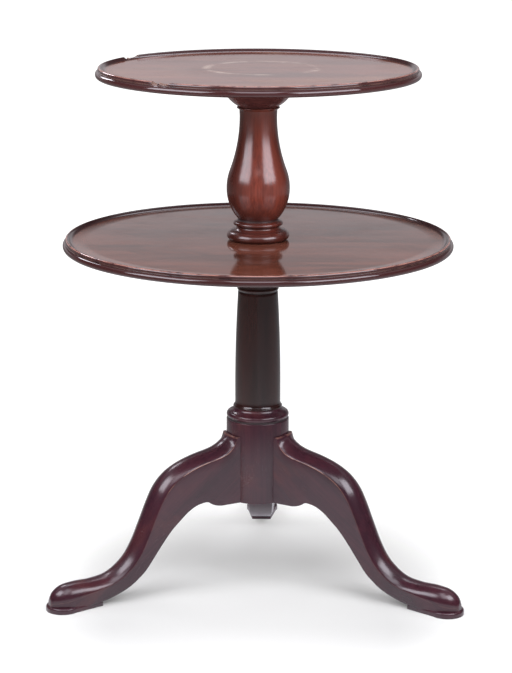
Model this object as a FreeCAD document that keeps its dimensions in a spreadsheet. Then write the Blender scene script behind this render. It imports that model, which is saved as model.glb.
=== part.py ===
import FreeCAD, Part
import math
import os
import Sketcher

# Two-tier side table: a turned pillar on three carved legs carries a dished tray,
# and a vase-shaped stem above it carries a smaller one. Both trays turn on the stem.
# Millimetres, Z up, origin on the pillar's axis at floor level.

os.makedirs("parts", exist_ok=True)
doc = FreeCAD.newDocument("TieredTable")
sheet = doc.addObject("Spreadsheet::Sheet", "Sizes")

UP = FreeCAD.Vector(0, 0, 1)


class Size:
    """A number together with the expression that gives it from the sheet."""

    def __init__(self, value, text=None):
        self.value = float(value)
        self.text = text or "%.6f" % value

    @staticmethod
    def of(other):
        return other if isinstance(other, Size) else Size(other)

    def __add__(self, other):
        other = Size.of(other)
        return Size(self.value + other.value, "(%s + %s)" % (self.text, other.text))

    def __sub__(self, other):
        other = Size.of(other)
        return Size(self.value - other.value, "(%s - %s)" % (self.text, other.text))

    def __mul__(self, other):
        other = Size.of(other)
        return Size(self.value * other.value, "%s * %s" % (self.text, other.text))

    def __truediv__(self, other):
        other = Size.of(other)
        return Size(self.value / other.value, "(%s) / (%s)" % (self.text, other.text))


sheet_rows = 0


def size(name, value):
    """Add one driving dimension to the sheet."""
    global sheet_rows
    sheet_rows += 1
    sheet.set("A%d" % sheet_rows, name)
    sheet.set("B%d" % sheet_rows, str(value))
    sheet.setAlias("B%d" % sheet_rows, name)
    return Size(value, "Sizes." + name)


# Driving dimensions: fits
turning_fit = size("turning_fit", 0.1)
curved_gap = size("curved_gap", 0.3)

# Driving dimensions: trays
lower_tray_radius = size("lower_tray_radius", 305)
upper_tray_radius = size("upper_tray_radius", 251)
tray_thickness = size("tray_thickness", 11.5)
dish_depth = size("dish_depth", 5)
rim_width = size("rim_width", 16)
rim_round = size("rim_round", 5.2)

# Driving dimensions: pillar
drum_bottom = size("drum_bottom", 134)
drum_height = size("drum_height", 130)
drum_radius = size("drum_radius", 49.6)
foot_moulding = size("foot_moulding", 27)
shaft_height = size("shaft_height", 232)
shaft_foot_radius = size("shaft_foot_radius", 35.9)
shaft_neck_radius = size("shaft_neck_radius", 31.1)
shaft_swell = size("shaft_swell", 2600)
neck_drop = size("neck_drop", 18)
spigot_radius = size("spigot_radius", 14)
spigot_grip = size("spigot_grip", 39)
end_chamfer = size("end_chamfer", 1.5)

# Driving dimensions: bearer blocks under the trays
block_height = size("block_height", 45.3)
block_foot_radius = size("block_foot_radius", 31.5)
block_top_radius = size("block_top_radius", 58)
block_screw_circle = size("block_screw_circle", 24)
block_bore_depth = size("block_bore_depth", 20)

# Driving dimensions: baluster
stem_height = size("stem_height", 208.6)
stem_base_radius = size("stem_base_radius", 48.9)
base_ring_height = size("base_ring_height", 33.4)
base_ring_inset = size("base_ring_inset", 17.6)
belly_radius = size("belly_radius", 49.3)
belly_rise = size("belly_rise", 81.7)
belly_foot_curve = size("belly_foot_curve", 70)
belly_curve = size("belly_curve", 82)
stem_neck_radius = size("stem_neck_radius", 29)
stem_neck_drop = size("stem_neck_drop", 14.4)
dowel_radius = size("dowel_radius", 13)
dowel_length = size("dowel_length", 36)

# Driving dimensions: legs
leg_thickness = size("leg_thickness", 48)
leg_root_drop = size("leg_root_drop", 21)
leg_step_reach = size("leg_step_reach", 55)
toe_reach = size("toe_reach", 369.5)
toe_round = size("toe_round", 38)
heel_reach = size("heel_reach", 282)
foot_height = size("foot_height", 42)
sole_height = size("sole_height", 9)
sole_half_width = size("sole_half_width", 24.5)
heel_half_width = size("heel_half_width", 16)
sole_edge = size("sole_edge", 2.2)
sole_margin = size("sole_margin", 1.2)
dovetail_neck = size("dovetail_neck", 16)
dovetail_width = size("dovetail_width", 24)
dovetail_depth = size("dovetail_depth", 17.6)
dovetail_drop = size("dovetail_drop", 15)
dovetail_overrun = size("dovetail_overrun", 4)

# Driving dimensions: iron strap and its screws, block screws
brace_thickness = size("brace_thickness", 2.6)
brace_hub_radius = size("brace_hub_radius", 27)
brace_arm_reach = size("brace_arm_reach", 66)
brace_arm_width = size("brace_arm_width", 17)
inner_screw_circle = size("inner_screw_circle", 20)
outer_screw_circle = size("outer_screw_circle", 62)
screw_radius = size("screw_radius", 2)
screw_length = size("screw_length", 16)
screw_head_radius = size("screw_head_radius", 4.5)
screw_head_height = size("screw_head_height", 2.6)
block_screw_grip = size("block_screw_grip", 7)
screw_slot = size("screw_slot", 1)

# Levels that follow, from the drum's bottom up to the upper tray
drum_top = drum_bottom + drum_height
pillar_shoulder = drum_top + shaft_height
neck_level = pillar_shoulder - neck_drop
lower_tray_level = pillar_shoulder + block_height
lower_floor = lower_tray_level + tray_thickness
stem_bottom = lower_floor + curved_gap
spigot_top = stem_bottom + spigot_grip
belly_level = lower_floor + belly_rise
stem_top = lower_floor + stem_height
stem_neck_level = stem_top - stem_neck_drop
dowel_top = stem_top + dowel_length
upper_block_foot = stem_top + curved_gap
upper_tray_level = upper_block_foot + block_height
leg_root_top = drum_top - leg_root_drop
dovetail_top = leg_root_top - dovetail_drop

doc.recompute()

LEG_ANGLES = {"left_leg": 210, "right_leg": 330, "rear_leg": 90}
BLOCK_SCREWS = 4


def bind(target, path, length):
    """Tie one property of an object to the sheet."""
    target.setExpression(path, length.text)


def origin_plane(body, role):
    for feature in body.Origin.OriginFeatures:
        if feature.Role == role:
            return feature


def origin_axis(body):
    return origin_plane(body, "Z_Axis")


def new_body(name):
    body = doc.addObject("PartDesign::Body", name)
    body.Label = name
    return body


def new_sketch(body, name, role, lift=None):
    """A sketch on one of the body's origin planes, lifted along Z if asked."""
    sketch = body.newObject("Sketcher::SketchObject", name)
    sketch.AttachmentSupport = [(origin_plane(body, role), "")]
    sketch.MapMode = "FlatFace"
    if lift is not None:
        sketch.AttachmentOffset = FreeCAD.Placement(UP * lift.value, FreeCAD.Rotation())
        bind(sketch, "AttachmentOffset.Base.z", lift)
    return sketch


def constrain(sketch, length, *parts):
    """Add a dimension to a sketch and tie it to the sheet."""
    index = sketch.addConstraint(Sketcher.Constraint(*parts, length.value))
    bind(sketch, "Constraints[%d]" % index, length)


def place_point(sketch, edge, end, across, along):
    """Fix a vertex by its two coordinates; None across puts it on the vertical axis."""
    if across is None:
        sketch.addConstraint(Sketcher.Constraint("PointOnObject", edge, end, -2))
    else:
        constrain(sketch, across, "DistanceX", -1, 1, edge, end)
    constrain(sketch, along, "DistanceY", -1, 1, edge, end)


def flat(point):
    across = 0.0 if point[0] is None else point[0].value
    return FreeCAD.Vector(across, point[1].value, 0)


def arc_between(start, end, radius, left):
    """The short arc from start to end that turns left or right on its way."""
    chord = end - start
    middle = (start + end) * 0.5
    side = FreeCAD.Vector(-chord.y, chord.x, 0).normalize()
    height = math.sqrt(max(radius ** 2 - chord.Length ** 2 / 4, 0))
    centre = middle + side * (height if left else -height)
    first = math.atan2(start.y - centre.y, start.x - centre.x)
    last = math.atan2(end.y - centre.y, end.x - centre.x)
    if not left:
        first, last = last, first
    if last < first:
        last += 2 * math.pi
    return Part.ArcOfCircle(Part.Circle(centre, UP, radius), first, last)


def draw_outline(sketch, outline):
    """Closed outline of (across, along) vertices.

    A third entry makes the edge that arrives at the vertex an arc of that radius,
    and a fourth says on which side it turns.
    """
    count = len(outline)
    ends = []
    for index in range(count):
        here = outline[index]
        after = outline[(index + 1) % count]
        start, end = flat(here), flat(after)
        if len(after) == 2:
            edge = sketch.addGeometry(Part.LineSegment(start, end), False)
            ends.append((edge, 1, 2))
        else:
            left = after[3] == "left"
            edge = sketch.addGeometry(arc_between(start, end, after[2].value, left), False)
            ends.append((edge, 1, 2) if left else (edge, 2, 1))
    for index in range(count):
        edge, first, last = ends[index]
        following, following_first, _ = ends[(index + 1) % count]
        sketch.addConstraint(Sketcher.Constraint("Coincident", edge, last, following, following_first))
    for index in range(count):
        edge, first, last = ends[index]
        place_point(sketch, edge, first, outline[index][0], outline[index][1])
        after = outline[(index + 1) % count]
        if len(after) > 2:
            constrain(sketch, after[2], "Radius", edge)


def turn(body, name, outline):
    """A turned piece: revolve an outline about the vertical axis."""
    sketch = new_sketch(body, name + "_outline", "XZ_Plane")
    draw_outline(sketch, outline)
    feature = body.newObject("PartDesign::Revolution", name + "_turning")
    feature.Profile = sketch
    feature.ReferenceAxis = (sketch, ["V_Axis"])
    feature.Angle = 360
    sketch.Visibility = False
    doc.recompute()
    return feature


def ring_of(body, name, features, count):
    """Repeat features evenly about the vertical axis."""
    pattern = body.newObject("PartDesign::PolarPattern", name)
    pattern.Originals = features
    pattern.Axis = (origin_axis(body), [""])
    pattern.Angle = 360
    pattern.Occurrences = count
    body.Tip = pattern
    doc.recompute()
    return pattern


def drill(body, name, circle, radius, level, depth, turned=0.0):
    """A round hole, parallel to the axis, that goes up from a level by a depth."""
    sketch = new_sketch(body, name + "_place", "XY_Plane", level)
    direction = FreeCAD.Vector(math.cos(turned), math.sin(turned), 0)
    hole = sketch.addGeometry(Part.Circle(direction * circle.value, UP, radius.value), False)
    constrain(sketch, radius, "Radius", hole)
    for axis, part, line in (("DistanceX", direction.x, -2), ("DistanceY", direction.y, -1)):
        if abs(part) < 1e-9:
            sketch.addConstraint(Sketcher.Constraint("PointOnObject", hole, 3, line))
        else:
            constrain(sketch, circle * part, axis, -1, 1, hole, 3)
    pocket = body.newObject("PartDesign::Pocket", name)
    pocket.Profile = sketch
    pocket.Length = depth.value
    bind(pocket, "Length", depth)
    pocket.Reversed = True
    doc.recompute()
    sketch.Visibility = False
    return pocket


# Pillar: drum, bead and hollow above it, tapering shaft, collar and spigot
pillar = new_body("pillar")
turn(pillar, "pillar", [
    (None, drum_bottom),
    (drum_radius, drum_bottom),
    (drum_radius, drum_top),
    (drum_radius - foot_moulding * 0.070, drum_top + foot_moulding * 0.044),
    (drum_radius - foot_moulding * 0.070, drum_top + foot_moulding * 0.119),
    (drum_radius - foot_moulding * 0.163, drum_top + foot_moulding * 0.452, foot_moulding * 0.193, "left"),
    (drum_radius - foot_moulding * 0.230, drum_top + foot_moulding * 0.496),
    (shaft_foot_radius + foot_moulding * 0.104, drum_top + foot_moulding * 0.726,
     foot_moulding * 0.333, "right"),
    (shaft_foot_radius + foot_moulding * 0.104, drum_top + foot_moulding * 0.793),
    (shaft_foot_radius, drum_top + foot_moulding, foot_moulding * 0.370, "right"),
    (shaft_neck_radius + neck_drop * 0.017, neck_level - neck_drop * 0.444, shaft_swell, "left"),
    (shaft_neck_radius - neck_drop * 0.028, neck_level - neck_drop * 0.367),
    (shaft_neck_radius + neck_drop * 0.028, neck_level - neck_drop * 0.278),
    (shaft_neck_radius + neck_drop * 0.028, neck_level - neck_drop * 0.056, neck_drop * 0.133, "left"),
    (shaft_neck_radius - neck_drop * 0.028, neck_level),
    (shaft_neck_radius - neck_drop * 0.050, pillar_shoulder - neck_drop * 0.444),
    (shaft_neck_radius + neck_drop * 0.144, pillar_shoulder - neck_drop * 0.256, neck_drop * 0.244, "right"),
    (shaft_neck_radius + neck_drop * 0.144, pillar_shoulder, neck_drop * 0.144, "left"),
    (spigot_radius, pillar_shoulder),
    (spigot_radius, spigot_top - end_chamfer),
    (spigot_radius - end_chamfer, spigot_top),
    (None, spigot_top),
])

# Dovetail sockets in the drum, open below so that the legs slide up into them
socket_sketch = new_sketch(pillar, "socket_outline", "XY_Plane", drum_bottom)
mouth = drum_radius + dovetail_overrun
root = drum_radius - dovetail_depth
mouth_half = dovetail_neck / 2 - (dovetail_width - dovetail_neck) / 2 * (mouth - drum_radius) / dovetail_depth
socket_corners = [
    (root, dovetail_width * 0.5, -1),
    (mouth, mouth_half, -1),
    (mouth, mouth_half, 1),
    (root, dovetail_width * 0.5, 1),
]
socket_edges = []
for index in range(4):
    here = socket_corners[index]
    after = socket_corners[(index + 1) % 4]
    start = FreeCAD.Vector(here[0].value, here[1].value * here[2], 0)
    end = FreeCAD.Vector(after[0].value, after[1].value * after[2], 0)
    socket_edges.append(socket_sketch.addGeometry(Part.LineSegment(start, end), False))
for index in range(4):
    edge, following = socket_edges[index], socket_edges[(index + 1) % 4]
    socket_sketch.addConstraint(Sketcher.Constraint("Coincident", edge, 2, following, 1))
for index in range(4):
    across, half, side = socket_corners[index]
    place_point(socket_sketch, socket_edges[index], 1, across, half * side)
socket = pillar.newObject("PartDesign::Pocket", "socket")
socket.Profile = socket_sketch
socket.Length = (dovetail_top - drum_bottom).value
bind(socket, "Length", dovetail_top - drum_bottom)
socket.Reversed = True
socket_sketch.Visibility = False
# The legs stand at 90 degrees and every 120 degrees from there, so the sockets start
# from the 90 degree one
socket_sketch.AttachmentOffset = FreeCAD.Placement(
    UP * drum_bottom.value, FreeCAD.Rotation(UP, LEG_ANGLES["rear_leg"]))
bind(socket_sketch, "AttachmentOffset.Base.z", drum_bottom)
doc.recompute()
ring_of(pillar, "sockets", [socket], 3)
pilot_radius = screw_radius + curved_gap
pilot_depth = screw_length * 1.125
pillar_pilot = drill(pillar, "strap_pilot", inner_screw_circle, pilot_radius, drum_bottom, pilot_depth,
                     math.radians(LEG_ANGLES["rear_leg"]))
ring_of(pillar, "strap_pilots", [pillar_pilot], 3)


def make_block(name, foot, top, bore, bore_top):
    """Bowl-shaped bearer, bored for its pivot, with deep screw holes up into the tray."""
    body = new_body(name)
    outline = [
        (bore, foot),
        (block_foot_radius, foot),
        (block_foot_radius + block_height * 0.022, foot + block_height * 0.031),
        (block_top_radius, top, block_height * 1.08, "left"),
    ]
    if bore_top is None:
        outline.append((bore, top))
    else:
        outline += [(None, top), (None, bore_top), (bore, bore_top)]
    turn(body, name, outline)
    counterbore = drill(body, name + "_counterbore", block_screw_circle, screw_head_radius + curved_gap,
                        foot, block_bore_depth)
    clearance = drill(body, name + "_screw_hole", block_screw_circle, pilot_radius, foot, top - foot)
    ring_of(body, name + "_screw_holes", [counterbore, clearance], BLOCK_SCREWS)
    return body


lower_block_foot = pillar_shoulder
lower_block = make_block("lower_block", lower_block_foot, lower_tray_level, spigot_radius + turning_fit, None)
dowel_bore = dowel_radius + turning_fit
upper_block = make_block("upper_block", upper_block_foot, upper_tray_level, dowel_bore, dowel_top)


def make_tray(name, radius, underside, bore):
    """Dished round tray: big half-round edge, groove, small bead, and a hollow inside the rim."""
    body = new_body(name)
    floor = underside + tray_thickness
    rim = floor + dish_depth
    centre = [(None, underside)] if bore is None else [(bore, underside)]
    rim_outline = [
        (radius - rim_round, underside),
        (radius, underside + rim_round, rim_round, "left"),
        (radius - rim_width * 0.225, rim - rim_round * 1.212, rim_round * 0.904, "left"),
        (radius - rim_width * 0.325, rim - rim_round * 1.115),
        (radius - rim_width * 0.325, rim - rim_round * 0.942),
        (radius - rim_width * 0.388, rim, rim_round * 0.529, "left"),
        (radius - rim_width * 0.600, rim - rim_round * 0.135, rim_round * 0.808, "left"),
        (radius - rim_width, floor, rim_width * 0.531, "right"),
    ]
    inner = [(None, floor)] if bore is None else [(bore, floor)]
    turn(body, name, centre + rim_outline + inner)
    pilot = drill(body, name + "_pilot", block_screw_circle, pilot_radius, underside, block_screw_grip * 1.15)
    ring_of(body, name + "_pilots", [pilot], BLOCK_SCREWS)
    return body


lower_tray = make_tray("lower_tray", lower_tray_radius, lower_tray_level, spigot_radius + turning_fit)
upper_tray = make_tray("upper_tray", upper_tray_radius, upper_tray_level, None)

# Baluster: base ring, collar, vase belly running up into a long neck, cap ring and dowel
rise = stem_neck_level - belly_level
swell = belly_radius - stem_neck_radius
curve_sum = (rise * rise + swell * swell) / (swell * 2)
neck_curve = curve_sum - belly_curve
bend_radius = belly_radius - belly_curve * swell / curve_sum
bend_level = belly_level + belly_curve * rise / curve_sum
baluster = new_body("baluster")
turn(baluster, "baluster", [
    (spigot_radius + curved_gap, stem_bottom),
    (stem_base_radius - base_ring_inset * 0.284, stem_bottom),
    (stem_base_radius - base_ring_inset * 0.250, stem_bottom + base_ring_height * 0.030),
    (stem_base_radius, stem_bottom + base_ring_height * 0.225, base_ring_height * 0.216, "left"),
    (stem_base_radius - base_ring_inset * 0.540, stem_bottom + base_ring_height * 0.467,
     base_ring_height * 0.299, "left"),
    (stem_base_radius - base_ring_inset * 0.818, stem_bottom + base_ring_height * 0.569),
    (stem_base_radius - base_ring_inset * 0.830, stem_bottom + base_ring_height * 0.677,
     base_ring_height * 0.078, "right"),
    (stem_base_radius - base_ring_inset * 0.682, stem_bottom + base_ring_height * 0.707),
    (stem_base_radius - base_ring_inset * 0.705, stem_bottom + base_ring_height * 0.874,
     base_ring_height * 0.088, "left"),
    (stem_base_radius - base_ring_inset, stem_bottom + base_ring_height * 0.928),
    (stem_base_radius - base_ring_inset, stem_bottom + base_ring_height),
    (belly_radius, belly_level, belly_foot_curve, "left"),
    (bend_radius, bend_level, belly_curve, "left"),
    (stem_neck_radius, stem_neck_level, neck_curve, "right"),
    (stem_neck_radius + stem_neck_drop * 0.028, stem_top - stem_neck_drop * 0.361),
    (stem_neck_radius + stem_neck_drop * 0.243, stem_top - stem_neck_drop * 0.167,
     stem_neck_drop * 0.236, "right"),
    (stem_neck_radius + stem_neck_drop * 0.257, stem_top, stem_neck_drop * 0.090, "left"),
    (dowel_radius, stem_top),
    (dowel_radius, dowel_top - end_chamfer),
    (dowel_radius - end_chamfer, dowel_top),
    (None, dowel_top),
    (None, spigot_top),
    (spigot_radius + curved_gap, spigot_top),
])

# Legs: a row of cross-sections, each a flat underside, two flat sides and a crowned top.
# A section is the reach and height of its crown and of its underside, the half width at
# the edge of the crown and at the underside, and how far the crown falls to that edge,
# as a share of the leg's thickness.
half = leg_thickness.value / 2
shoulder = leg_step_reach.value
root_height = leg_root_top.value - drum_bottom.value
foot_top = foot_height.value
toe = toe_reach.value - 3 * sole_margin.value
heel = heel_reach.value
foot_width = sole_half_width.value - sole_margin.value


def leg_height(share):
    """A height on the leg, as a share of the rise from the strap to the root's top."""
    return drum_bottom.value + share * root_height


def leg_reach(share):
    """A reach on the leg, as a share of the run from the root's step to the toe."""
    return shoulder + share * (toe - shoulder)


def toe_width(share):
    """Half width of the rounded toe at a share of the leg's run."""
    into_toe = min(max((leg_reach(share) - toe) / toe_round.value + 1, 0), 1)
    return foot_width * math.sqrt(max(1 - into_toe ** 2, 0.03))


shin = drum_bottom.value
heel_half = heel_half_width.value
root = drum_radius.value
under_step = (root + shoulder) / 2
LEG_SECTIONS = [
    (root, leg_height(0.991), root, leg_height(0.063), half, half, 0.052),
    (under_step, leg_height(0.982), under_step, leg_height(0.063), half, half, 0.177),
    (leg_reach(0.010), leg_height(0.954), leg_reach(0.010), leg_height(0.063), half, half, 0.271),
    (leg_reach(0.039), leg_height(0.894), leg_reach(0.045), leg_height(0.069), half, half, 0.281),
    (leg_reach(0.104), leg_height(0.817), leg_reach(0.100), leg_height(0.080), half, half, 0.250),
    (leg_reach(0.192), leg_height(0.761), leg_reach(0.162), leg_height(0.089), half, half, 0.250),
    (leg_reach(0.277), leg_height(0.681), leg_reach(0.214), leg_height(0.057), half, half * 0.99, 0.271),
    (leg_reach(0.350), leg_height(0.565), leg_reach(0.260), shin * 0.985, half, half * 0.98, 0.281),
    (leg_reach(0.408), leg_height(0.396), leg_reach(0.300), shin * 0.905, half, half * 0.96, 0.292),
    (leg_reach(0.450), shin * 1.142, leg_reach(0.351), shin * 0.793, half * 0.99, half * 0.94, 0.281),
    (leg_reach(0.495), shin * 0.906, leg_reach(0.403), shin * 0.640, half * 0.97, half * 0.90, 0.271),
    (leg_reach(0.543), shin * 0.670, leg_reach(0.452), shin * 0.482, half * 0.95, half * 0.87, 0.260),
    (leg_reach(0.598), shin * 0.487, leg_reach(0.503), shin * 0.328, half * 0.93, half * 0.83, 0.250),
    (leg_reach(0.680), foot_top * 1.120, leg_reach(0.585), foot_top * 0.560, half * 0.93, half * 0.77, 0.260),
    (leg_reach(0.771), foot_top * 1.000, leg_reach(0.689), foot_top * 0.226, half * 0.93, heel_half, 0.292),
    (leg_reach(0.856), foot_top, leg_reach(0.801), foot_top * 0.13, foot_width * 0.98, foot_width * 0.86, 0.333),
]
for share, height, under_share, fall in (
    (0.924, 0.910, 0.905, 0.333),
    (0.968, 0.690, 0.965, 0.271),
    (0.993, 0.420, 0.992, 0.146),
    (1.000, 0.270, 1.000, 0.062),
):
    crown = (leg_reach(share), foot_top * height)
    under = (leg_reach(under_share), foot_top * 0.12)
    width = toe_width(share)
    LEG_SECTIONS.append((*crown, *under, width, width, fall))


def leg_section(crown_reach, crown_height, under_reach, under_height, edge_half, under_half, fall):
    """One closed cross-section of the leg, in the plane through its crown and its underside."""
    crown = FreeCAD.Vector(crown_reach, 0, crown_height)
    under = FreeCAD.Vector(under_reach, 0, under_height)
    across = FreeCAD.Vector(0, 1, 0)
    edge = crown + (under - crown).normalize() * fall * leg_thickness.value
    corners = [
        under - across * under_half,
        under + across * under_half,
        edge + across * edge_half,
        edge - across * edge_half,
    ]
    edges = [
        Part.makeLine(corners[0], corners[1]),
        Part.makeLine(corners[1], corners[2]),
        Part.Arc(corners[2], crown, corners[3]).toShape(),
        Part.makeLine(corners[3], corners[0]),
    ]
    return Part.Wire(edges)


def leg_shape():
    """The whole leg along +X: carved part, root with its step, lobe, sole and dovetail tenon."""
    carved = Part.makeLoft([leg_section(*section) for section in LEG_SECTIONS], True, False)
    drum = drum_radius.value
    inside = drum - half / 3
    bottom = drum_bottom.value
    step_height = leg_root_top.value - leg_height(0.063)
    step_corner = FreeCAD.Vector(inside, -half, leg_height(0.063))
    root_block = Part.makeBox(shoulder - inside, leg_thickness.value, step_height, step_corner)
    root_block = root_block.common(Part.makeCylinder(shoulder, leg_root_top.value))
    lobe_end = leg_reach(0.143)
    lobe_flat = leg_reach(0.072)
    lobe_top = leg_height(0.211)
    lobe_side = [
        FreeCAD.Vector(inside, -half, lobe_top),
        FreeCAD.Vector(inside, -half, bottom),
        FreeCAD.Vector(lobe_flat, -half, bottom),
        FreeCAD.Vector(lobe_end, -half, leg_height(0.078)),
        FreeCAD.Vector(lobe_end, -half, lobe_top),
    ]
    belly = FreeCAD.Vector(leg_reach(0.113), -half, leg_height(0.028))
    lobe_edges = [
        Part.makeLine(lobe_side[0], lobe_side[1]),
        Part.makeLine(lobe_side[1], lobe_side[2]),
        Part.Arc(lobe_side[2], belly, lobe_side[3]).toShape(),
        Part.makeLine(lobe_side[3], lobe_side[4]),
        Part.makeLine(lobe_side[4], lobe_side[0]),
    ]
    lobe = Part.Face(Part.Wire(lobe_edges)).extrude(FreeCAD.Vector(0, leg_thickness.value, 0))
    toe_start = toe_reach.value - toe_round.value
    wide = sole_half_width.value
    heel_corners = [FreeCAD.Vector(heel, -heel_half, 0), FreeCAD.Vector(heel, heel_half, 0)]
    sides = [FreeCAD.Vector(toe_start, wide, 0), FreeCAD.Vector(toe_start, -wide, 0)]
    sole_edges = [
        Part.makeLine(heel_corners[0], heel_corners[1]),
        Part.makeLine(heel_corners[1], sides[0]),
        Part.Arc(sides[0], FreeCAD.Vector(toe_reach.value, 0, 0), sides[1]).toShape(),
        Part.makeLine(sides[1], heel_corners[0]),
    ]
    sole = Part.Face(Part.Wire(sole_edges)).extrude(UP * sole_height.value)
    top_edges = [edge for edge in sole.Edges if edge.BoundBox.ZMin > sole_height.value - 0.01]
    sole = sole.makeFillet(sole_edge.value, top_edges)
    leg = carved.fuse([root_block, lobe, sole])
    hollow = Part.makeCylinder(drum + curved_gap.value, drum_top.value)
    leg = leg.cut(hollow)
    neck = dovetail_neck.value / 2
    tail = dovetail_width.value / 2
    overrun = dovetail_overrun.value
    flare = (tail - neck) / dovetail_depth.value
    tenon_plan = [
        FreeCAD.Vector(drum - dovetail_depth.value, -tail, bottom),
        FreeCAD.Vector(drum + overrun, -neck + flare * overrun, bottom),
        FreeCAD.Vector(drum + overrun, neck - flare * overrun, bottom),
        FreeCAD.Vector(drum - dovetail_depth.value, tail, bottom),
    ]
    tenon_face = Part.Face(Part.makePolygon(tenon_plan + tenon_plan[:1]))
    tenon = tenon_face.extrude(UP * (dovetail_top.value - bottom))
    leg = leg.fuse(tenon).removeSplitter()
    pilot = Part.makeCylinder(pilot_radius.value, pilot_depth.value,
                              FreeCAD.Vector(outer_screw_circle.value, 0, bottom), UP)
    return leg.cut(pilot)


def add_shape(name, shape, placement=FreeCAD.Placement()):
    feature = doc.addObject("Part::Feature", name)
    feature.Label = name
    feature.Shape = shape
    feature.Placement = placement
    return feature


def single_solid(shape):
    return shape.Solids[0] if len(shape.Solids) == 1 else shape


leg = single_solid(leg_shape())
legs = []
for leg_name, angle in LEG_ANGLES.items():
    turned = FreeCAD.Placement(FreeCAD.Vector(), FreeCAD.Rotation(UP, angle))
    legs.append(add_shape(leg_name, leg.copy(), turned))

# Iron strap: a round hub with three arms, one under each leg, drilled for its screws
brace = new_body("leg_brace")
brace_level = drum_bottom - brace_thickness
hub_sketch = new_sketch(brace, "hub_outline", "XY_Plane", brace_level)
hub_circle = hub_sketch.addGeometry(Part.Circle(FreeCAD.Vector(), UP, brace_hub_radius.value), False)
hub_sketch.addConstraint(Sketcher.Constraint("Coincident", hub_circle, 3, -1, 1))
constrain(hub_sketch, brace_hub_radius, "Radius", hub_circle)
hub = brace.newObject("PartDesign::Pad", "hub")
hub.Profile = hub_sketch
hub.Length = brace_thickness.value
bind(hub, "Length", brace_thickness)
doc.recompute()
arm_sketch = new_sketch(brace, "arm_outline", "XY_Plane", brace_level)
arm_half = brace_arm_width * 0.5
arm_start = brace_hub_radius * 0.5
draw_outline(arm_sketch, [
    (arm_half, arm_start),
    (arm_half, brace_arm_reach),
    (arm_half * -1, brace_arm_reach, arm_half * 1.02, "left"),
    (arm_half * -1, arm_start),
])
arm = brace.newObject("PartDesign::Pad", "arm")
arm.Profile = arm_sketch
arm.Length = brace_thickness.value
bind(arm, "Length", brace_thickness)
doc.recompute()
ring_of(brace, "arms", [arm], 3)
rear = math.radians(LEG_ANGLES["rear_leg"])
strap_holes = [
    drill(brace, "inner_hole", inner_screw_circle, pilot_radius, brace_level, brace_thickness, rear),
    drill(brace, "outer_hole", outer_screw_circle, pilot_radius, brace_level, brace_thickness, rear),
]
ring_of(brace, "strap_holes", strap_holes, 3)


def screw(length):
    """A slotted round-headed screw pointing up, seated at the origin, its thread left plain."""
    head_radius = screw_head_radius.value
    head_height = screw_head_height.value
    ball_radius = (head_radius ** 2 + head_height ** 2) / (2 * head_height)
    ball = Part.makeSphere(ball_radius, FreeCAD.Vector(0, 0, ball_radius - head_height))
    below = Part.makeBox(4 * head_radius, 4 * head_radius, 2 * head_radius,
                         FreeCAD.Vector(-2 * head_radius, -2 * head_radius, -2 * head_radius))
    slot = Part.makeBox(4 * head_radius, screw_slot.value, head_height * 0.5,
                        FreeCAD.Vector(-2 * head_radius, -screw_slot.value / 2, -head_height))
    tip = screw_radius.value * 2
    shank = Part.makeCylinder(screw_radius.value, length - tip)
    point = Part.makeCone(screw_radius.value, screw_radius.value * 0.2, tip, UP * (length - tip))
    return ball.common(below).cut(slot).fuse([shank, point]).removeSplitter()


def screw_ring(shape, circle, level, count, first_angle):
    """Copies of a screw evenly round a circle at one level."""
    copies = []
    for index in range(count):
        angle = first_angle + index * 360.0 / count
        copy = shape.copy()
        copy.translate(FreeCAD.Vector(circle, 0, level))
        copy.rotate(FreeCAD.Vector(), UP, angle)
        copies.append(single_solid(copy))
    return copies


strap_screw = screw(screw_length.value)
strap_level = brace_level.value
strap_screws = screw_ring(strap_screw, inner_screw_circle.value, strap_level, 3, LEG_ANGLES["rear_leg"])
strap_screws += screw_ring(strap_screw, outer_screw_circle.value, strap_level, 3, LEG_ANGLES["rear_leg"])
brace_screws = add_shape("brace_screws", Part.makeCompound(strap_screws))


def block_screw_group(name, foot, tray_level):
    seat = foot.value + block_bore_depth.value
    length = tray_level.value + block_screw_grip.value - seat
    return add_shape(name, Part.makeCompound(
        screw_ring(screw(length), block_screw_circle.value, seat, BLOCK_SCREWS, 0)))


lower_block_screws = block_screw_group("lower_block_screws", lower_block_foot, lower_tray_level)
upper_block_screws = block_screw_group("upper_block_screws", upper_block_foot, upper_tray_level)

doc.recompute()

# Checks, then one file for each piece
pieces = [pillar] + legs + [
    brace, brace_screws,
    lower_block, lower_block_screws, lower_tray,
    baluster,
    upper_block, upper_block_screws, upper_tray,
]
for item in doc.Objects:
    if "Invalid" in item.State or "Error" in item.State:
        raise RuntimeError("%s failed: %s" % (item.Name, item.State))
for piece in pieces:
    if piece.Shape.isNull() or not piece.Shape.isValid():
        raise RuntimeError("%s has no valid shape" % piece.Label)
expected = {"brace_screws": 6, "lower_block_screws": BLOCK_SCREWS, "upper_block_screws": BLOCK_SCREWS}
for piece in pieces:
    if len(piece.Shape.Solids) != expected.get(piece.Label, 1):
        raise RuntimeError("%s has %d solids" % (piece.Label, len(piece.Shape.Solids)))
for piece in pieces:
    piece.Shape.exportStep("parts/%s.step" % piece.Label)
    box = piece.Shape.BoundBox
    print("%-20s volume %10.0f  z %.1f to %.1f" % (piece.Label, piece.Shape.Volume, box.ZMin, box.ZMax))
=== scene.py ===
import math

import bpy
from mathutils import Euler, Matrix, Quaternion, Vector


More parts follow.
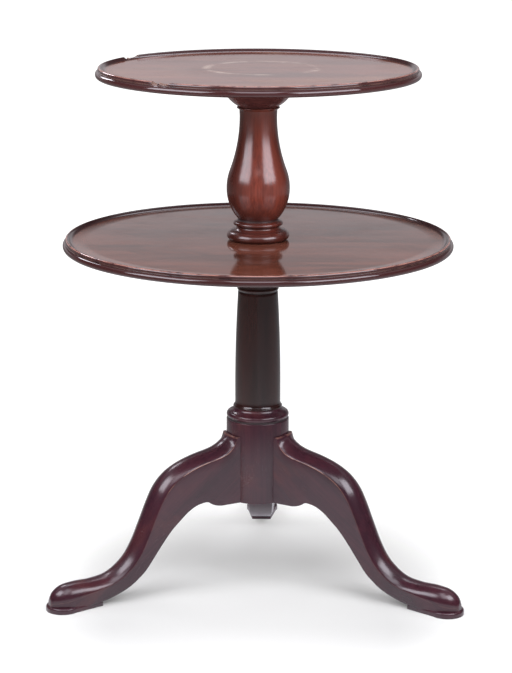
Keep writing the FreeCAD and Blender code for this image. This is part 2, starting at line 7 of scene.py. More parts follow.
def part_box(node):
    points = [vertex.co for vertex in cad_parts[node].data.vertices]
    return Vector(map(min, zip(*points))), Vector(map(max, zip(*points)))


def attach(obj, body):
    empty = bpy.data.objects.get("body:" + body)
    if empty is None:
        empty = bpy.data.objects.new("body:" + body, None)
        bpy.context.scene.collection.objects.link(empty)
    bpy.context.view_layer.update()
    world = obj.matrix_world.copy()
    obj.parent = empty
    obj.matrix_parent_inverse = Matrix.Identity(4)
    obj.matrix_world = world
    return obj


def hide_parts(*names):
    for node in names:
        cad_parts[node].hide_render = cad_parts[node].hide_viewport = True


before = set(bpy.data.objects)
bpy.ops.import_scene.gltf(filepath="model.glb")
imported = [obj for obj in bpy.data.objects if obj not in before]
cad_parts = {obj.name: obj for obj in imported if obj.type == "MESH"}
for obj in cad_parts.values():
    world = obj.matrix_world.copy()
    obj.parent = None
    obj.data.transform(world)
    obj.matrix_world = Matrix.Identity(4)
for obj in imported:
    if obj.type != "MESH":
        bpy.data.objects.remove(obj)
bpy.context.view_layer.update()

# Two-tier side table of polished dark wood, seen in a white studio.
# Outlines are in millimetres, as a turner would mark them; the scene is in metres.
MM = 0.001
SIDES = 216
ARC_TURN = math.radians(11)
ARC_LENGTH = 4.0
SMOOTH_ANGLE = math.radians(38)
MERGE_DISTANCE = 0.002 * MM
SPOTS_PER_MM = 20
LEFT = 1
RIGHT = -1


# Sizes and places

def lowest(node):
    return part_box(node)[0] / MM


def highest(node):
    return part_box(node)[1] / MM


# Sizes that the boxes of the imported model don't show
CURVED_GAP = 0.3
PIVOT_FIT = 0.1
SPIGOT = 14
DOWEL = 13
DISH_DEPTH = 5
RIM_CREST = 6.2
DRUM_HEIGHT = 130
DRUM_RING = 20

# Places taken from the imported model
DRUM_BOTTOM = lowest("pillar").z
DRUM_RADIUS = highest("pillar").x
DRUM_TOP = DRUM_BOTTOM + DRUM_HEIGHT
PILLAR_SHOULDER = lowest("lower_block").z
PILLAR_TOP = highest("pillar").z
LOWER_UNDERSIDE = lowest("lower_tray").z
LOWER_RIM = highest("lower_tray").z
LOWER_RADIUS = highest("lower_tray").x
UPPER_UNDERSIDE = lowest("upper_tray").z
UPPER_RIM = highest("upper_tray").z
UPPER_RADIUS = highest("upper_tray").x
STEM_BOTTOM = lowest("baluster").z
STEM_TOP = lowest("upper_block").z - CURVED_GAP
DOWEL_TOP = highest("baluster").z
ROOT_TOP = highest("rear_leg").z
TOE_REACH = highest("rear_leg").y
LEG_ANGLES = {"left_leg": 210, "right_leg": 330, "rear_leg": 90}

# Dirt in an inner corner: how far it spreads, the turn in degrees from which a corner holds any,
# and the turns at which the scale of dirt starts and is full
DIRT_WIDTH = 1.9
DIRTY_TURN = 20
DIRT_START = 10
DIRT_FULL = 50

# The stem has painted light and shade: lighter on the front, most of all about this level, and darker round
# the sides and above and below it; it is also darker at its foot
PAINTED_LIT_SIDE = (0.2, -0.98, 0)
PAINTED_LIT_LEVEL = STEM_BOTTOM + 95
FOOT_DARK = STEM_BOTTOM + 20
FOOT_CLEAR = STEM_BOTTOM + 80


# Drawing outlines

def arc_between(start, end, radius, bend):
    """Points of the short arc from start to end, without start; bend is LEFT or RIGHT."""
    chord = end - start
    height = math.sqrt(max(radius * radius - chord.length_squared / 4, 0))
    side = Vector((-chord.y, chord.x)).normalized() * bend
    centre = (start + end) / 2 + side * height
    sweep = 2 * math.asin(min(chord.length / (2 * radius), 1)) * bend
    by_turn = math.ceil(abs(sweep) / ARC_TURN)
    by_length = math.ceil(abs(sweep) * radius / ARC_LENGTH)
    steps = max(2, by_turn, by_length)
    points = []
    for step in range(1, steps + 1):
        turn = Matrix.Rotation(sweep * step / steps, 2)
        points.append(centre + turn @ (start - centre))
    return points


def trace(outline):
    """All points of an outline whose vertices are (across, along) or (across, along, radius, bend)."""
    points = [Vector(outline[0])]
    for vertex in outline[1:]:
        end = Vector(vertex[:2])
        if len(vertex) == 2:
            points.append(end)
        else:
            points += arc_between(points[-1], end, vertex[2], vertex[3])
    return points


def draw_line(name, points):
    """A new mesh in edit mode: one vertex, drawn out through the points in millimetres."""
    bpy.ops.object.select_all(action="DESELECT")
    bpy.ops.mesh.primitive_circle_add(vertices=3, radius=MM)
    piece = bpy.context.object
    piece.name = name
    piece.data.name = name
    bpy.ops.object.mode_set(mode="EDIT")
    bpy.ops.mesh.select_all(action="SELECT")
    bpy.ops.mesh.merge(type="CENTER")
    bpy.ops.transform.translate(value=points[0] * MM)
    for here, after in zip(points, points[1:]):
        bpy.ops.mesh.extrude_vertices_move(TRANSFORM_OT_translate={"value": (after - here) * MM})
    bpy.ops.mesh.select_all(action="SELECT")
    return piece


def close_up():
    """Merge what coincides, turn the faces outwards and leave edit mode."""
    bpy.ops.mesh.select_all(action="SELECT")
    bpy.ops.mesh.remove_doubles(threshold=MERGE_DISTANCE)
    bpy.ops.mesh.normals_make_consistent(inside=False)
    bpy.ops.object.mode_set(mode="OBJECT")


def soften(piece, width, angle=30):
    """Round every edge sharper than an angle, and shade the rest smooth."""
    bpy.ops.object.select_all(action="DESELECT")
    piece.select_set(True)
    bpy.context.view_layer.objects.active = piece
    bevel = piece.modifiers.new("soft_edges", "BEVEL")
    bevel.width = width * MM
    bevel.segments = 2
    bevel.limit_method = "ANGLE"
    bevel.angle_limit = math.radians(angle)
    bpy.ops.object.modifier_apply(modifier=bevel.name)
    bpy.ops.object.shade_smooth_by_angle(angle=SMOOTH_ANGLE)


def with_hollows(points):
    """Points of an outline with their dirt: up to 1 in a sharp inner corner, 0 a little way from it."""
    marked = [(points[0], 0.0)]
    for before, here, after in zip(points, points[1:], points[2:]):
        coming = here - before
        going = after - here
        turn = math.degrees(coming.angle_signed(going))
        if turn < DIRTY_TURN:
            marked.append((here, 0.0))
            continue
        if coming.length > 2 * DIRT_WIDTH:
            marked.append((here - coming.normalized() * DIRT_WIDTH, 0.0))
        marked.append((here, min((turn - DIRT_START) / (DIRT_FULL - DIRT_START), 1)))
        if going.length > 2 * DIRT_WIDTH:
            marked.append((here + going.normalized() * DIRT_WIDTH, 0.0))
    marked.append((points[-1], 0.0))
    return marked


def spot(across, along):
    """Which twentieth of a millimetre of the outline's plane a point lies in."""
    return round(across * SPOTS_PER_MM), round(along * SPOTS_PER_MM)


def lay_dirt(piece, marked):
    """Store the outline's dirt on the vertices of the piece turned from it."""
    dirty = {spot(point.x, point.y): share for point, share in marked if share > 0}
    dirt = piece.data.attributes.new("dirt", "FLOAT", "POINT")
    steps = (0, -1, 1)
    for vertex, place in zip(piece.data.vertices, dirt.data):
        across, along = spot(vertex.co.xy.length / MM, vertex.co.z / MM)
        near = [(across + right, along + up) for right in steps for up in steps]
        place.value = max(dirty.get(key, 0) for key in near)


def turned(name, outline, edge=0.5):
    """A piece turned on a lathe: an outline spun about the vertical axis."""
    marked = with_hollows(trace(outline))
    piece = draw_line(name, [Vector((point.x, 0, point.y)) for point, share in marked])
    bpy.ops.mesh.spin(steps=SIDES, angle=2 * math.pi, center=(0, 0, 0), axis=(0, 0, 1))
    close_up()
    lay_dirt(piece, marked)
    soften(piece, edge)
    return piece


def cut_out(piece, cutter):
    """Take the shape of the cutter out of a piece; the new faces get the cutter's material."""
    bpy.ops.object.select_all(action="DESELECT")
    piece.select_set(True)
    bpy.context.view_layer.objects.active = piece
    cut = piece.modifiers.new("cut", "BOOLEAN")
    cut.operation = "DIFFERENCE"
    cut.solver = "EXACT"
    cut.material_mode = "TRANSFER"
    cut.object = cutter
    bpy.ops.object.modifier_apply(modifier=cut.name)
    bpy.ops.object.shade_smooth_by_angle(angle=SMOOTH_ANGLE)
    bpy.data.objects.remove(cutter)


def lay_grain(piece, along, offset=(0, 0, 0)):
    """Store where each vertex lies in the plank the piece was cut from, first axis along the grain."""
    turn = Vector(along).rotation_difference(Vector((1, 0, 0))).to_matrix()
    plank = piece.data.attributes.new("plank", "FLOAT_VECTOR", "POINT")
    for vertex, place in zip(piece.data.vertices, plank.data):
        place.vector = turn @ vertex.co + Vector(offset)


# Turned pieces

def make_pillar():
    drum = DRUM_RADIUS
    top = DRUM_TOP
    shoulder = PILLAR_SHOULDER
    return turned("turned_pillar", [
        (0, DRUM_BOTTOM),
        (drum, DRUM_BOTTOM),
        (drum, top),
        (drum - 1.9, top + 1.2),
        (drum - 1.9, top + 3.2),
        (drum - 4.4, top + 12.2, 5.2, LEFT),
        (drum - 6.2, top + 13.4),
        (38.7, top + 19.6, 9, RIGHT),
        (38.7, top + 21.4),
        (35.9, top + 27, 10, RIGHT),
        (31.4, shoulder - 26, 2600, LEFT),
        (30.6, shoulder - 24.6),
        (31.6, shoulder - 23),
        (31.6, shoulder - 19, 2.4, LEFT),
        (30.6, shoulder - 18),
        (30.2, shoulder - 8),
        (33.7, shoulder - 4.6, 4.4, RIGHT),
        (33.7, shoulder, 2.6, LEFT),
        (SPIGOT, shoulder),
        (SPIGOT, PILLAR_TOP - 1.5),
        (SPIGOT - 1.5, PILLAR_TOP),
        (0, PILLAR_TOP),
    ])


def make_block(name, foot, top, bore, bore_top=None):
    """Bowl-shaped bearer under a tray, bored for its pivot right through or up to a level."""
    outline = [
        (bore, foot),
        (31.5, foot),
        (32.5, foot + 1.4),
        (58, top, (top - foot) * 1.08, LEFT),
    ]
    if bore_top is None:
        outline += [(bore, top), (bore, foot)]
    else:
        outline += [(0, top), (0, bore_top), (bore, bore_top), (bore, foot)]
    return turned(name, outline)


def make_tray(name, radius, underside, rim, bore=None):
    """Dished tray: half-round edge, groove, small bead, and a hollow down to the floor of the dish."""
    floor = rim - DISH_DEPTH
    outline = [
        (radius - 5.2, underside),
        (radius, underside + 5.2, 5.2, LEFT),
        (radius - 3.6, rim - 6.3, 4.7, LEFT),
        (radius - 5.2, rim - 5.8),
        (radius - 5.2, rim - 4.9),
        (radius - RIM_CREST, rim, 2.75, LEFT),
        (radius - 9.6, rim - 0.7, 4.2, LEFT),
        (radius - 16, floor, 8.5, RIGHT),
    ]
    rings = [radius * share / 8 for share in range(1, 8)]
    under = [(across, underside) for across in rings]
    over = [(across, floor) for across in reversed(rings)]
    if bore is None:
        outline = [(0, underside), *under, *outline, *over, (0, floor)]
    else:
        outline = [(bore, underside), *under, *outline, *over, (bore, floor), (bore, underside)]
    return turned(name, outline, edge=0.35)


def make_baluster():
    base = STEM_BOTTOM
    ring = 48.9
    neck = 29
    neck_level = STEM_TOP - 14.4
    belly = 49.3
    belly_level = base + 81.4
    belly_curve = 82
    rise = neck_level - belly_level
    swell = belly - neck
    curve_sum = (rise * rise + swell * swell) / (2 * swell)
    bend = (belly - belly_curve * swell / curve_sum, belly_level + belly_curve * rise / curve_sum)
    socket = SPIGOT + CURVED_GAP
    return turned("turned_baluster", [
        (socket, base),
        (ring - 5, base),
        (ring - 4.4, base + 1),
        (ring, base + 7.5, 7.2, LEFT),
        (ring - 9.5, base + 15.6, 10, LEFT),
        (ring - 14.4, base + 19),
        (ring - 14.6, base + 22.6, 2.6, RIGHT),
        (ring - 12, base + 23.6),
        (ring - 12.4, base + 29.2, 2.95, LEFT),
        (ring - 17.6, base + 31),
        (ring - 17.6, base + 33.4),
        (belly, belly_level, 70, LEFT),
        (*bend, belly_curve, LEFT),
        (neck, neck_level, curve_sum - belly_curve, RIGHT),
        (neck + 0.4, STEM_TOP - 5.2),
        (neck + 3.5, STEM_TOP - 2.4, 3.4, RIGHT),
        (neck + 3.7, STEM_TOP, 1.3, LEFT),
        (DOWEL, STEM_TOP),
        (DOWEL, DOWEL_TOP - 1.5),
        (DOWEL - 1.5, DOWEL_TOP),
        (0, DOWEL_TOP),
        (0, PILLAR_TOP),
        (socket, PILLAR_TOP),
        (socket, base),
    ])


# Carved legs: sections along the leg, each with a flat underside, flat sides and a crowned top
HALF = 24
STEP = 55
SOLE_LIP = 3.6
SOLE_SIDE_LIP = 1.2
SOLE_HEIGHT = 9
SOLE_ROUND = 3.4
SOLE_HALF = 24.5
HEEL_HALF = 16
HEEL_REACH = 282
TOE_ROUND = 38
TOE = TOE_REACH - SOLE_LIP
FOOT = 42
FOOT_HALF = SOLE_HALF - SOLE_SIDE_LIP
TENON_DEPTH = 17.6
TENON_OUT = 4
TENON_TAIL = 12
TENON_NECK = 7.1
TENON_DROP = 15
SOCKET_OVERRUN = 10
RINGS_PER_SECTION = 6
SECTIONS = 21


def reach(share):
    return STEP + share * (TOE - STEP)


def height(share):
    return DRUM_BOTTOM + share * (ROOT_TOP - DRUM_BOTTOM)


def toe_half(share):
    into_toe = min(max((reach(share) - TOE) / TOE_ROUND + 1, 0), 1)
    return FOOT_HALF * math.sqrt(max(1 - into_toe ** 2, 0.03))


SHIN = DRUM_BOTTOM
CROWN_LINE = [
    (0, reach(0.002), height(0.973)),
    (1, reach(0.0065), height(0.963)),
    (2, reach(0.0125), height(0.950)),
    (3, reach(0.0235), height(0.927)),
    (4, reach(0.039), height(0.894)),
    (5, reach(0.066), height(0.853)),
    (6, reach(0.104), height(0.817)),
    (7, reach(0.192), height(0.761)),
    (8, reach(0.277), height(0.681)),
    (9, reach(0.350), height(0.565)),
    (10, reach(0.408), height(0.396)),
    (11, reach(0.450), SHIN * 1.142),
    (12, reach(0.495), SHIN * 0.906),
    (13, reach(0.543), SHIN * 0.670),
    (14, reach(0.598), SHIN * 0.487),
    (15, reach(0.680), FOOT * 1.120),
    (16, reach(0.771), FOOT * 1.000),
    (17, reach(0.856), FOOT * 1.000),
    (18, reach(0.924), FOOT * 0.945),
    (19, reach(0.970), FOOT * 0.770),
    (20, reach(0.995), FOOT * 0.520),
    (21, reach(1.000), FOOT * 0.270),
]
LOBE_LINE = [
    (0, reach(0.002), height(0)),
    (4, reach(0.045), height(0)),
    (5, reach(0.072), height(0)),
    (5.5, reach(0.094), height(0.011)),
    (6, reach(0.113), height(0.028)),
    (6.3, reach(0.130), height(0.052)),
    (6.5, reach(0.143), height(0.080)),
]
UNDER_LINE = [
    (6.5, reach(0.143), height(0.080)),
    (7, reach(0.164), height(0.088)),
    (8, reach(0.214), height(0.057)),
    (9, reach(0.260), SHIN * 0.985),
    (10, reach(0.300), SHIN * 0.905),
    (11, reach(0.351), SHIN * 0.793),
    (12, reach(0.403), SHIN * 0.640),
    (13, reach(0.452), SHIN * 0.482),
    (14, reach(0.503), SHIN * 0.328),
    (15, reach(0.585), FOOT * 0.560),
    (16, reach(0.689), FOOT * 0.226),
    (17, reach(0.801), FOOT * 0.130),
    (18, reach(0.905), FOOT * 0.120),
    (19, reach(0.965), FOOT * 0.120),
    (20, reach(0.992), FOOT * 0.120),
    (21, reach(1.000), FOOT * 0.120),
]
# Half width at the edge of the crown and at the underside, fall of the crown, and how far
# the section still follows the round of the drum
SHAPE_LINE = [
    (0, HALF, HALF, 0.6, 1),
    (1, HALF, HALF, 5, 0.95),
    (2, HALF, HALF, 9.5, 0.82),
    (3, HALF, HALF, 12.5, 0.58),
    (4, HALF, HALF, 13.5, 0.3),
    (5, HALF, HALF, 13, 0.1),
    (6, HALF, HALF, 12, 0),
    (7, HALF, HALF, 12, 0),
    (8, HALF, HALF * 0.99, 13, 0),
    (10, HALF, HALF * 0.96, 14, 0),
    (11, HALF * 0.99, HALF * 0.94, 13.5, 0),
    (12, HALF * 0.97, HALF * 0.90, 13, 0),
    (14, HALF * 0.93, HALF * 0.83, 12, 0),
    (15, HALF * 0.93, HALF * 0.77, 12.5, 0),
    (16, HALF * 0.93, HEEL_HALF, 15, 0),
    (17, FOOT_HALF * 0.98, FOOT_HALF * 0.86, 19.5, 0),
    (18, toe_half(0.924), toe_half(0.924), 21.5, 0),
    (19, toe_half(0.968), toe_half(0.968), 16.5, 0),
    (20, toe_half(0.993), toe_half(0.993), 8.2, 0),
    (21, toe_half(1), toe_half(1), 3, 0),
]


def along_line(line, place):
    """Smooth value of a line at a place; a line is rows of (place, values...)."""
    last = len(line) - 2
    index = 0
    while index < last and place > line[index + 1][0]:
        index += 1
    before = line[max(index - 1, 0)]
    start = line[index]
    end = line[index + 1]
    after = line[min(index + 2, last + 1)]
    span = end[0] - start[0]
    share = (place - start[0]) / span
    values = []
    for column in range(1, len(start)):
        slope_in = (end[column] - before[column]) / (end[0] - before[0]) * span
        slope_out = (after[column] - start[column]) / (after[0] - start[0]) * span
        cube = 2 * start[column] - 2 * end[column] + slope_in + slope_out
        square = 3 * end[column] - 3 * start[column] - 2 * slope_in - slope_out
        values.append(((cube * share + square) * share + slope_in) * share + start[column])
    return values


def half_section(tall, edge_half, under_half, fall):
    """Right half of a section as (across, up) points, from the middle of the underside to the crown."""
    corner = 1.4
    worn = 1.0
    arris_in = 0.18
    arris_up = 0.1
    points = [(under_half * share, 0) for share in (0, 0.35, 0.7)]
    points += [(under_half - corner, 0), (under_half - 0.3 * corner, 0.3 * corner)]
    edge_up = tall - fall
    lean = edge_half - under_half
    for share in (corner / edge_up, 0.2, 0.4, 0.6, 0.8, 1 - worn / edge_up):
        points.append((under_half + lean * share, edge_up * share))
    crown_radius = (edge_half ** 2 + fall ** 2) / (2 * fall)
    crown_turn = math.atan2(edge_half, crown_radius - fall)
    first_turn = crown_turn - worn / crown_radius
    points.append((edge_half - arris_in, edge_up + arris_up))
    steps = 12
    for step in range(steps + 1):
        turn = first_turn * (1 - step / steps)
        points.append((crown_radius * math.sin(turn), tall - crown_radius * (1 - math.cos(turn))))
    return points


# Which point of a half section lies on the edge of the crown. That edge is fully worn from one place
# along the leg and fades to its least wear between two others; the step's lip has its own wear.
# The pale colour of this wear is partly a painted highlight
ARRIS_POINT = 11
LIP_WEAR = 0.4
LEAST_WEAR = 0.12
WEAR_FULL = 4
WEAR_FADES = 8
WEAR_ENDS = 11


def leg_ring(crown, under, edge_half, under_half, fall, follow):
    """One closed ring of points round the leg."""
    base = Vector((under[0], 0, under[1]))
    upward = Vector((crown[0], 0, crown[1])) - base
    tall = upward.length
    upward.normalize()
    right = half_section(tall, edge_half, under_half, fall)
    left = [(-across, up) for across, up in reversed(right[1:-1])]
    ring = []
    for across, up in right + left:
        point = base + upward * up
        point.y = across
        if follow > 0:
            point.x -= follow * (crown[0] - math.sqrt(crown[0] ** 2 - across ** 2))
        ring.append(point)
    return ring


def leg_rings():
    """Rings from the drum to the toe, and the place of each along the leg."""
    root_shape = SHAPE_LINE[0][1:]
    rings = []
    places = []
    lip = 0.9
    lip_middle = 0.25
    corners = [(DRUM_RADIUS + CURVED_GAP, 0), (STEP - lip, 0), (STEP - lip_middle, lip_middle), (STEP, lip)]
    for out, down in corners:
        rings.append(leg_ring((out, ROOT_TOP - down), (out, DRUM_BOTTOM), *root_shape))
        places.append(-1)
    for index in range(SECTIONS * RINGS_PER_SECTION + 1):
        place = index / RINGS_PER_SECTION
        under_line = LOBE_LINE if place <= LOBE_LINE[-1][0] else UNDER_LINE
        rings.append(leg_ring(along_line(CROWN_LINE, place), along_line(under_line, place),
                              *along_line(SHAPE_LINE, place)))
        places.append(place)
    return rings, places


def wear_at(row, column, around, place):
    """How worn the finish is at a ring's point: along the edge of the crown, and on the step's lip; its
    pale colour is partly a painted highlight.
    """
    if place < 0:
        on_top = ARRIS_POINT <= column <= around - ARRIS_POINT
        return LIP_WEAR if on_top and row in (1, 2, 3) else 0.0
    if column not in (ARRIS_POINT, around - ARRIS_POINT):
        return 0.0
    fading = (WEAR_ENDS - place) / (WEAR_ENDS - WEAR_FADES)
    return min(place / WEAR_FULL, 1) * min(max(fading, LEAST_WEAR), 1)


def make_leg():
    """The leg along +X: a sheet rolled round the sections, closed at both ends, on its sole."""
    rings, places = leg_rings()
    around = len(rings[0])
    bpy.ops.object.select_all(action="DESELECT")
    bpy.ops.mesh.primitive_grid_add(x_subdivisions=around, y_subdivisions=len(rings) - 1, size=1)
    leg = bpy.context.object
    leg.name = "carved_leg"
    leg.data.name = "carved_leg"
    worn = leg.data.attributes.new("worn", "FLOAT", "POINT")
    for row, ring in enumerate(rings):
        for column in range(around + 1):
            index = row * (around + 1) + column
            turn = column % around
            leg.data.vertices[index].co = ring[turn] * MM
            worn.data[index].value = wear_at(row, turn, around, places[row])
    bpy.ops.object.mode_set(mode="EDIT")
    bpy.ops.mesh.select_all(action="SELECT")
    bpy.ops.mesh.remove_doubles(threshold=MERGE_DISTANCE)
    bpy.ops.mesh.select_all(action="DESELECT")
    bpy.ops.mesh.select_mode(type="EDGE")
    bpy.ops.mesh.select_non_manifold()
    bpy.ops.mesh.fill()
    bpy.ops.mesh.select_mode(type="VERT")
    close_up()
    bpy.ops.object.shade_smooth_by_angle(angle=SMOOTH_ANGLE)
    sole = make_sole()
    tenon = make_tenon(0)
    for part in (leg, sole, tenon):
        part.select_set(True)
    bpy.context.view_layer.objects.active = leg
    bpy.ops.object.join()
    return leg


def make_sole():
    """Pad under the foot, along +X: straight heel, round toe, softened upper edge."""
    straight = TOE_REACH - TOE_ROUND
    toe_radius = (TOE_ROUND ** 2 + SOLE_HALF ** 2) / (2 * TOE_ROUND)
    outline = trace([
        (HEEL_REACH, -HEEL_HALF),
        (straight, -SOLE_HALF),
        (TOE_REACH, 0, toe_radius, LEFT),
        (straight, SOLE_HALF, toe_radius, LEFT),
        (HEEL_REACH, HEEL_HALF),
        (HEEL_REACH, -HEEL_HALF),
    ])
    sole = draw_line("sole", [Vector((point.x, point.y, 0)) for point in outline])
    bpy.ops.mesh.remove_doubles(threshold=MERGE_DISTANCE)
    bpy.ops.mesh.edge_face_add()
    bpy.ops.mesh.extrude_region_move(TRANSFORM_OT_translate={"value": (0, 0, SOLE_HEIGHT * MM)})
    bpy.ops.mesh.region_to_loop()
    bpy.ops.mesh.bevel(offset=SOLE_ROUND * MM, segments=5)
    close_up()
    soften(sole, 0.5)
    return sole


def make_tenon(loose):
    """Sliding dovetail along +X, as the leg has it, or looser all round, as its socket is cut."""
    back = DRUM_RADIUS - TENON_DEPTH - loose
    front = DRUM_RADIUS + TENON_OUT
    tail = TENON_TAIL + loose
    neck = TENON_NECK + loose
    foot = DRUM_BOTTOM - SOCKET_OVERRUN * loose
    top = ROOT_TOP - TENON_DROP + loose
    corners = [(back, -tail), (front, -neck), (front, neck), (back, tail), (back, -tail)]
    tenon = draw_line("tenon", [Vector((along, across, foot)) for along, across in corners])
    bpy.ops.mesh.remove_doubles(threshold=MERGE_DISTANCE)
    bpy.ops.mesh.edge_face_add()
    bpy.ops.mesh.extrude_region_move(TRANSFORM_OT_translate={"value": (0, 0, (top - foot) * MM)})
    close_up()
    return tenon


# Wear

def make_lump(angle, radius, level, wide, long, deep, seed):
    """Uneven lump, to break a chip out of a rim at an angle round it."""
    bpy.ops.object.select_all(action="DESELECT")
    bpy.ops.mesh.primitive_ico_sphere_add(subdivisions=3, radius=1)
    lump = bpy.context.object
    lump.name = "lump"
    bpy.ops.object.mode_set(mode="EDIT")
    bpy.ops.mesh.select_all(action="SELECT")
    bpy.ops.transform.vertex_random(offset=0.12, seed=seed)
    bpy.ops.transform.resize(value=(wide * MM, long * MM, deep * MM), center_override=(0, 0, 0))
    bpy.ops.transform.translate(value=(radius * MM, 0, level * MM))
    bpy.ops.object.mode_set(mode="OBJECT")
    lump.data.transform(Matrix.Rotation(math.radians(angle), 4, "Z"))
    return lump


# Materials

class Field:
    """An output socket of a shader; arithmetic on it adds Math nodes."""

    def __init__(self, shader, socket):
        self.shader = shader
        self.socket = socket

    def math(self, operation, *values):
        inputs = dict(enumerate(values))
        return self.shader.node("ShaderNodeMath", {"operation": operation}, inputs)

    def __add__(self, other):
        return self.math("ADD", self, other)

    def __radd__(self, other):
        return self.math("ADD", other, self)

    def __sub__(self, other):
        return self.math("SUBTRACT", self, other)

    def __rsub__(self, other):
        return self.math("SUBTRACT", other, self)

    def __mul__(self, other):
        return self.math("MULTIPLY", self, other)

    def __rmul__(self, other):
        return self.math("MULTIPLY", other, self)

    def magnitude(self):
        return self.math("ABSOLUTE", self)

    def between(self, low, high):
        """0 below low, 1 above high, smooth in between."""
        inputs = {"Value": self, "From Min": low, "From Max": high}
        return self.shader.node("ShaderNodeMapRange", {"interpolation_type": "SMOOTHSTEP"}, inputs)


class Shader:
    """The node tree of a new material or of the world."""

    def __init__(self, owner):
        owner.use_nodes = True
        self.owner = owner
        self.tree = owner.node_tree
        self.tree.nodes.clear()

    def node(self, kind, settings=None, inputs=None, output=0):
        """Add a node: its settings first, then the values or links of its sockets."""
        made = self.tree.nodes.new(kind)
        for name, value in (settings or {}).items():
            if name == "stops":
                self.set_stops(made.color_ramp, value)
            else:
                setattr(made, name, value)
        for name, value in (inputs or {}).items():
            if isinstance(value, Field):
                self.tree.links.new(value.socket, made.inputs[name])
            else:
                made.inputs[name].default_value = value
        return Field(self, made.outputs[output])

    def set_stops(self, ramp, stops):
        while len(ramp.elements) < len(stops):
            ramp.elements.new(0.5)
        for element, (place, colour) in zip(ramp.elements, stops):
            element.position = place
            element.color = (*colour, 1)

    def noise(self, coordinates, scale, detail=3, roughness=0.5, distortion=0):
        stretched = self.node("ShaderNodeMapping", {}, {"Vector": coordinates, "Scale": scale})
        inputs = {"Vector": stretched, "Scale": 1.0, "Detail": detail, "Roughness": roughness,
                  "Distortion": distortion}
        return self.node("ShaderNodeTexNoise", {}, inputs)

    def mix(self, share, first, second):
        """A colour between two colours."""
        inputs = {0: share, 6: first, 7: second}
        return self.node("ShaderNodeMix", {"data_type": "RGBA"}, inputs, 2)

    def vectors(self, operation, *values, output="Value"):
        """Vector arithmetic that gives a number, or a vector where the output is named so."""
        return self.node("ShaderNodeVectorMath", {"operation": operation}, dict(enumerate(values)), output)

    def axis(self, vector, name):
        return self.node("ShaderNodeSeparateXYZ", {}, {"Vector": vector}, name)

    def attribute(self, name, output="Fac"):
        return self.node("ShaderNodeAttribute", {"attribute_name": name}, {}, output)

    def bump(self, height, strength, distance):
        inputs = {"Height": height, "Strength": strength, "Distance": distance}
        return self.node("ShaderNodeBump", {}, inputs)

    def finish(self, surface):
        """Link the surface to a new output and give back the material or the world."""
        is_world = isinstance(self.owner, bpy.types.World)
        output = self.tree.nodes.new("ShaderNodeOutputWorld" if is_world else "ShaderNodeOutputMaterial")
        self.tree.links.new(surface.socket, output.inputs["Surface"])
        return self.owner


def tint(colour, factor=1.0):
    return (*[part * factor for part in colour], 1)


RIM_TONE_AND_SHADE_COLOUR = (0.031, 0.010, 0.010, 1)
CREST_WEAR_AND_HIGHLIGHT_COLOUR = (0.33, 0.165, 0.13, 1)
RING_COLOUR = (0.6, 0.47, 0.36, 1)
WEAR_AND_HIGHLIGHT_COLOUR = (0.36, 0.18, 0.13, 1)
DIRT_COLOUR = (0.008, 0.005, 0.005, 1)
RIM_STARTS = 18
RIM_FULL = 12.5
CREST_LINE = 5.8
LEVEL_ONLY = (1, 1, 0)
WOOD_IOR = 1.5


